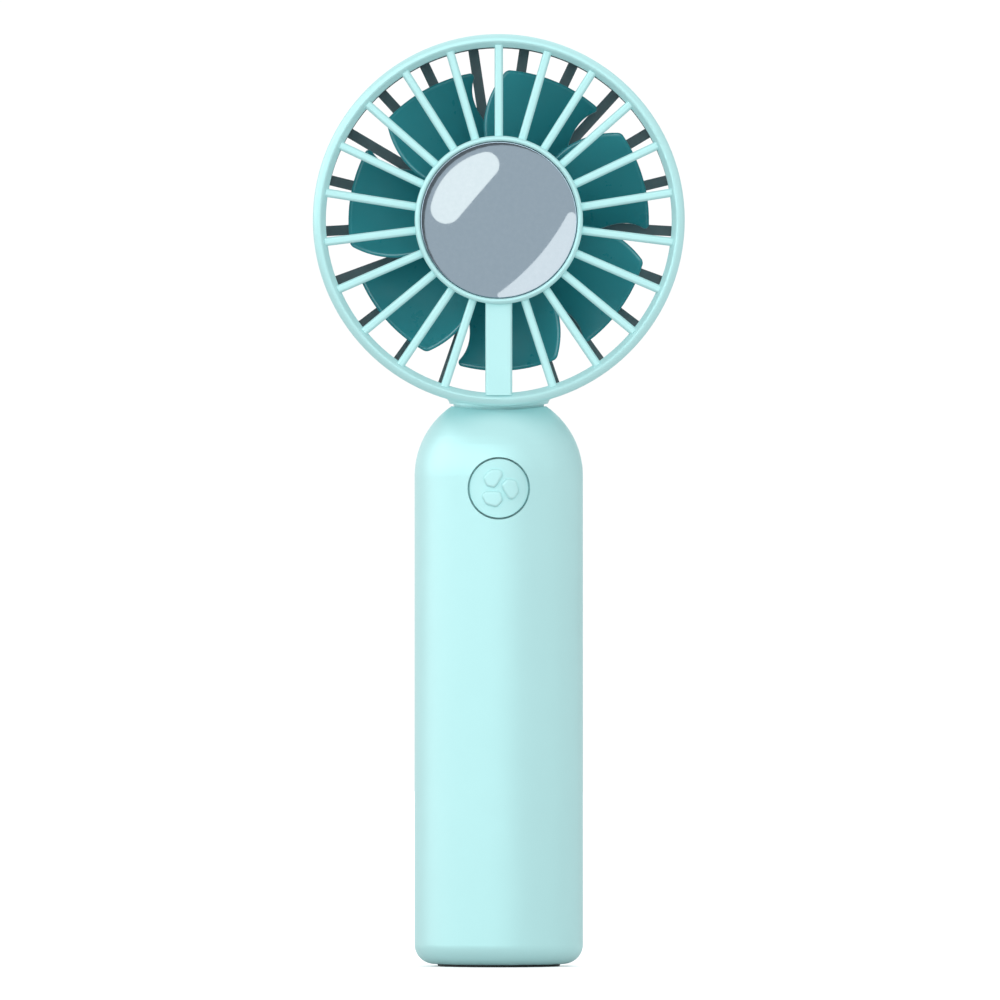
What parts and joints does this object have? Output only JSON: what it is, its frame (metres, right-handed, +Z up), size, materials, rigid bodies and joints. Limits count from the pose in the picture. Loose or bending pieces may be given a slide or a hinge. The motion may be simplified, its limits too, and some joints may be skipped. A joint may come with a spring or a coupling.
{
  "type": "handheld fan",
  "caption": "Handheld electric fan: round caged head with swept blades and a mirror in its hub, on a pill-shaped handle with a flush key.",
  "frame": {"origin": "centre of the foot's underside, where the fan stands", "axes": "+Z up the handle to the head, -Y the way the fan blows, +X to the right as seen from the front"},
  "size_m": [0.08, 0.0362, 0.2007],
  "materials": {
    "mint_plastic": "satin moulded",
    "guard_plastic": "satin moulded",
    "blade_plastic": "smooth moulded",
    "mirror_glass": "polished",
    "foam_tape": "soft foam",
    "zinc_steel": "zinc plated",
    "can_steel": "nickel plated",
    "shaft_steel": "ground",
    "bearing_bronze": "sintered",
    "contact_brass": "stamped",
    "magnet_ferrite": "sintered",
    "winding_copper": "enamelled",
    "black_plastic": "moulded",
    "foot_silicone": "soft matt",
    "board_laminate": "solder mask",
    "capacitor_sleeve": "shrink sleeve",
    "chip_ceramic": "fired",
    "clear_plastic": "frosted clear",
    "cell_wrap": "shrink film",
    "nickel_strip": "rolled",
    "black_insulation": "extruded",
    "red_insulation": "extruded"
  },
  "bodies": {
    "housing": {"front_grille": "mint_plastic", "mirror": "mirror_glass", "mirror_tape": "foam_tape", "head_shell": "mint_plastic", "rear_grille": "guard_plastic", "rear_hub_cap": "guard_plastic", "motor_mount": "guard_plastic", "mount_screws": "zinc_steel", "motor_screws": "zinc_steel", "motor_can": "can_steel", "motor_bearing_front": "bearing_bronze", "motor_bearing_rear": "bearing_bronze", "motor_magnets": "magnet_ferrite", "motor_end_cap": "black_plastic", "motor_brushes": "bearing_bronze", "motor_terminals": "contact_brass", "handle_front_shell": "mint_plastic", "handle_rear_shell": "mint_plastic", "foot_pad": "foot_silicone", "shell_screws": "zinc_steel", "control_board": "board_laminate", "tact_switch": "can_steel", "speed_controller": "black_plastic", "motor_capacitor": "capacitor_sleeve", "board_resistors": "chip_ceramic", "board_screws": "zinc_steel", "charge_board": "board_laminate", "usb_socket_shell": "shaft_steel", "usb_socket_tongue": "black_plastic", "charge_controller": "black_plastic", "power_inductor": "magnet_ferrite", "charge_capacitors": "chip_ceramic", "status_lamp": "chip_ceramic", "lamp_lens": "clear_plastic", "battery_cell": "can_steel", "battery_wrap": "cell_wrap", "battery_insulator": "foam_tape", "battery_terminal": "can_steel", "battery_tabs": "nickel_strip", "battery_pads": "foam_tape", "battery_lead_negative": "black_insulation", "battery_lead_positive": "red_insulation", "supply_lead_positive": "red_insulation", "supply_lead_negative": "black_insulation", "motor_lead_positive": "red_insulation", "motor_lead_negative": "black_insulation"},
    "rotor": {"motor_shaft": "shaft_steel", "armature_core": "can_steel", "armature_windings": "winding_copper", "commutator": "contact_brass", "thrust_washer": "bearing_bronze", "impeller": "blade_plastic", "impeller_insert": "contact_brass"},
    "button": {"power_button": "mint_plastic", "switch_plunger": "black_plastic"}
  },
  "joints": [
    {"name": "impeller_spin", "type": "hinge", "parent": "housing", "child": "rotor", "pos_m": [0, 0, 0.1607], "axis": [0, 1, 0], "continuous": true},
    {"name": "button_press", "type": "slide", "parent": "housing", "child": "button", "axis": [0, 1, 0], "range_m": [0, 0.0003], "stiffness_N_per_m": 400, "springref_m": -0.0005}
  ]
}
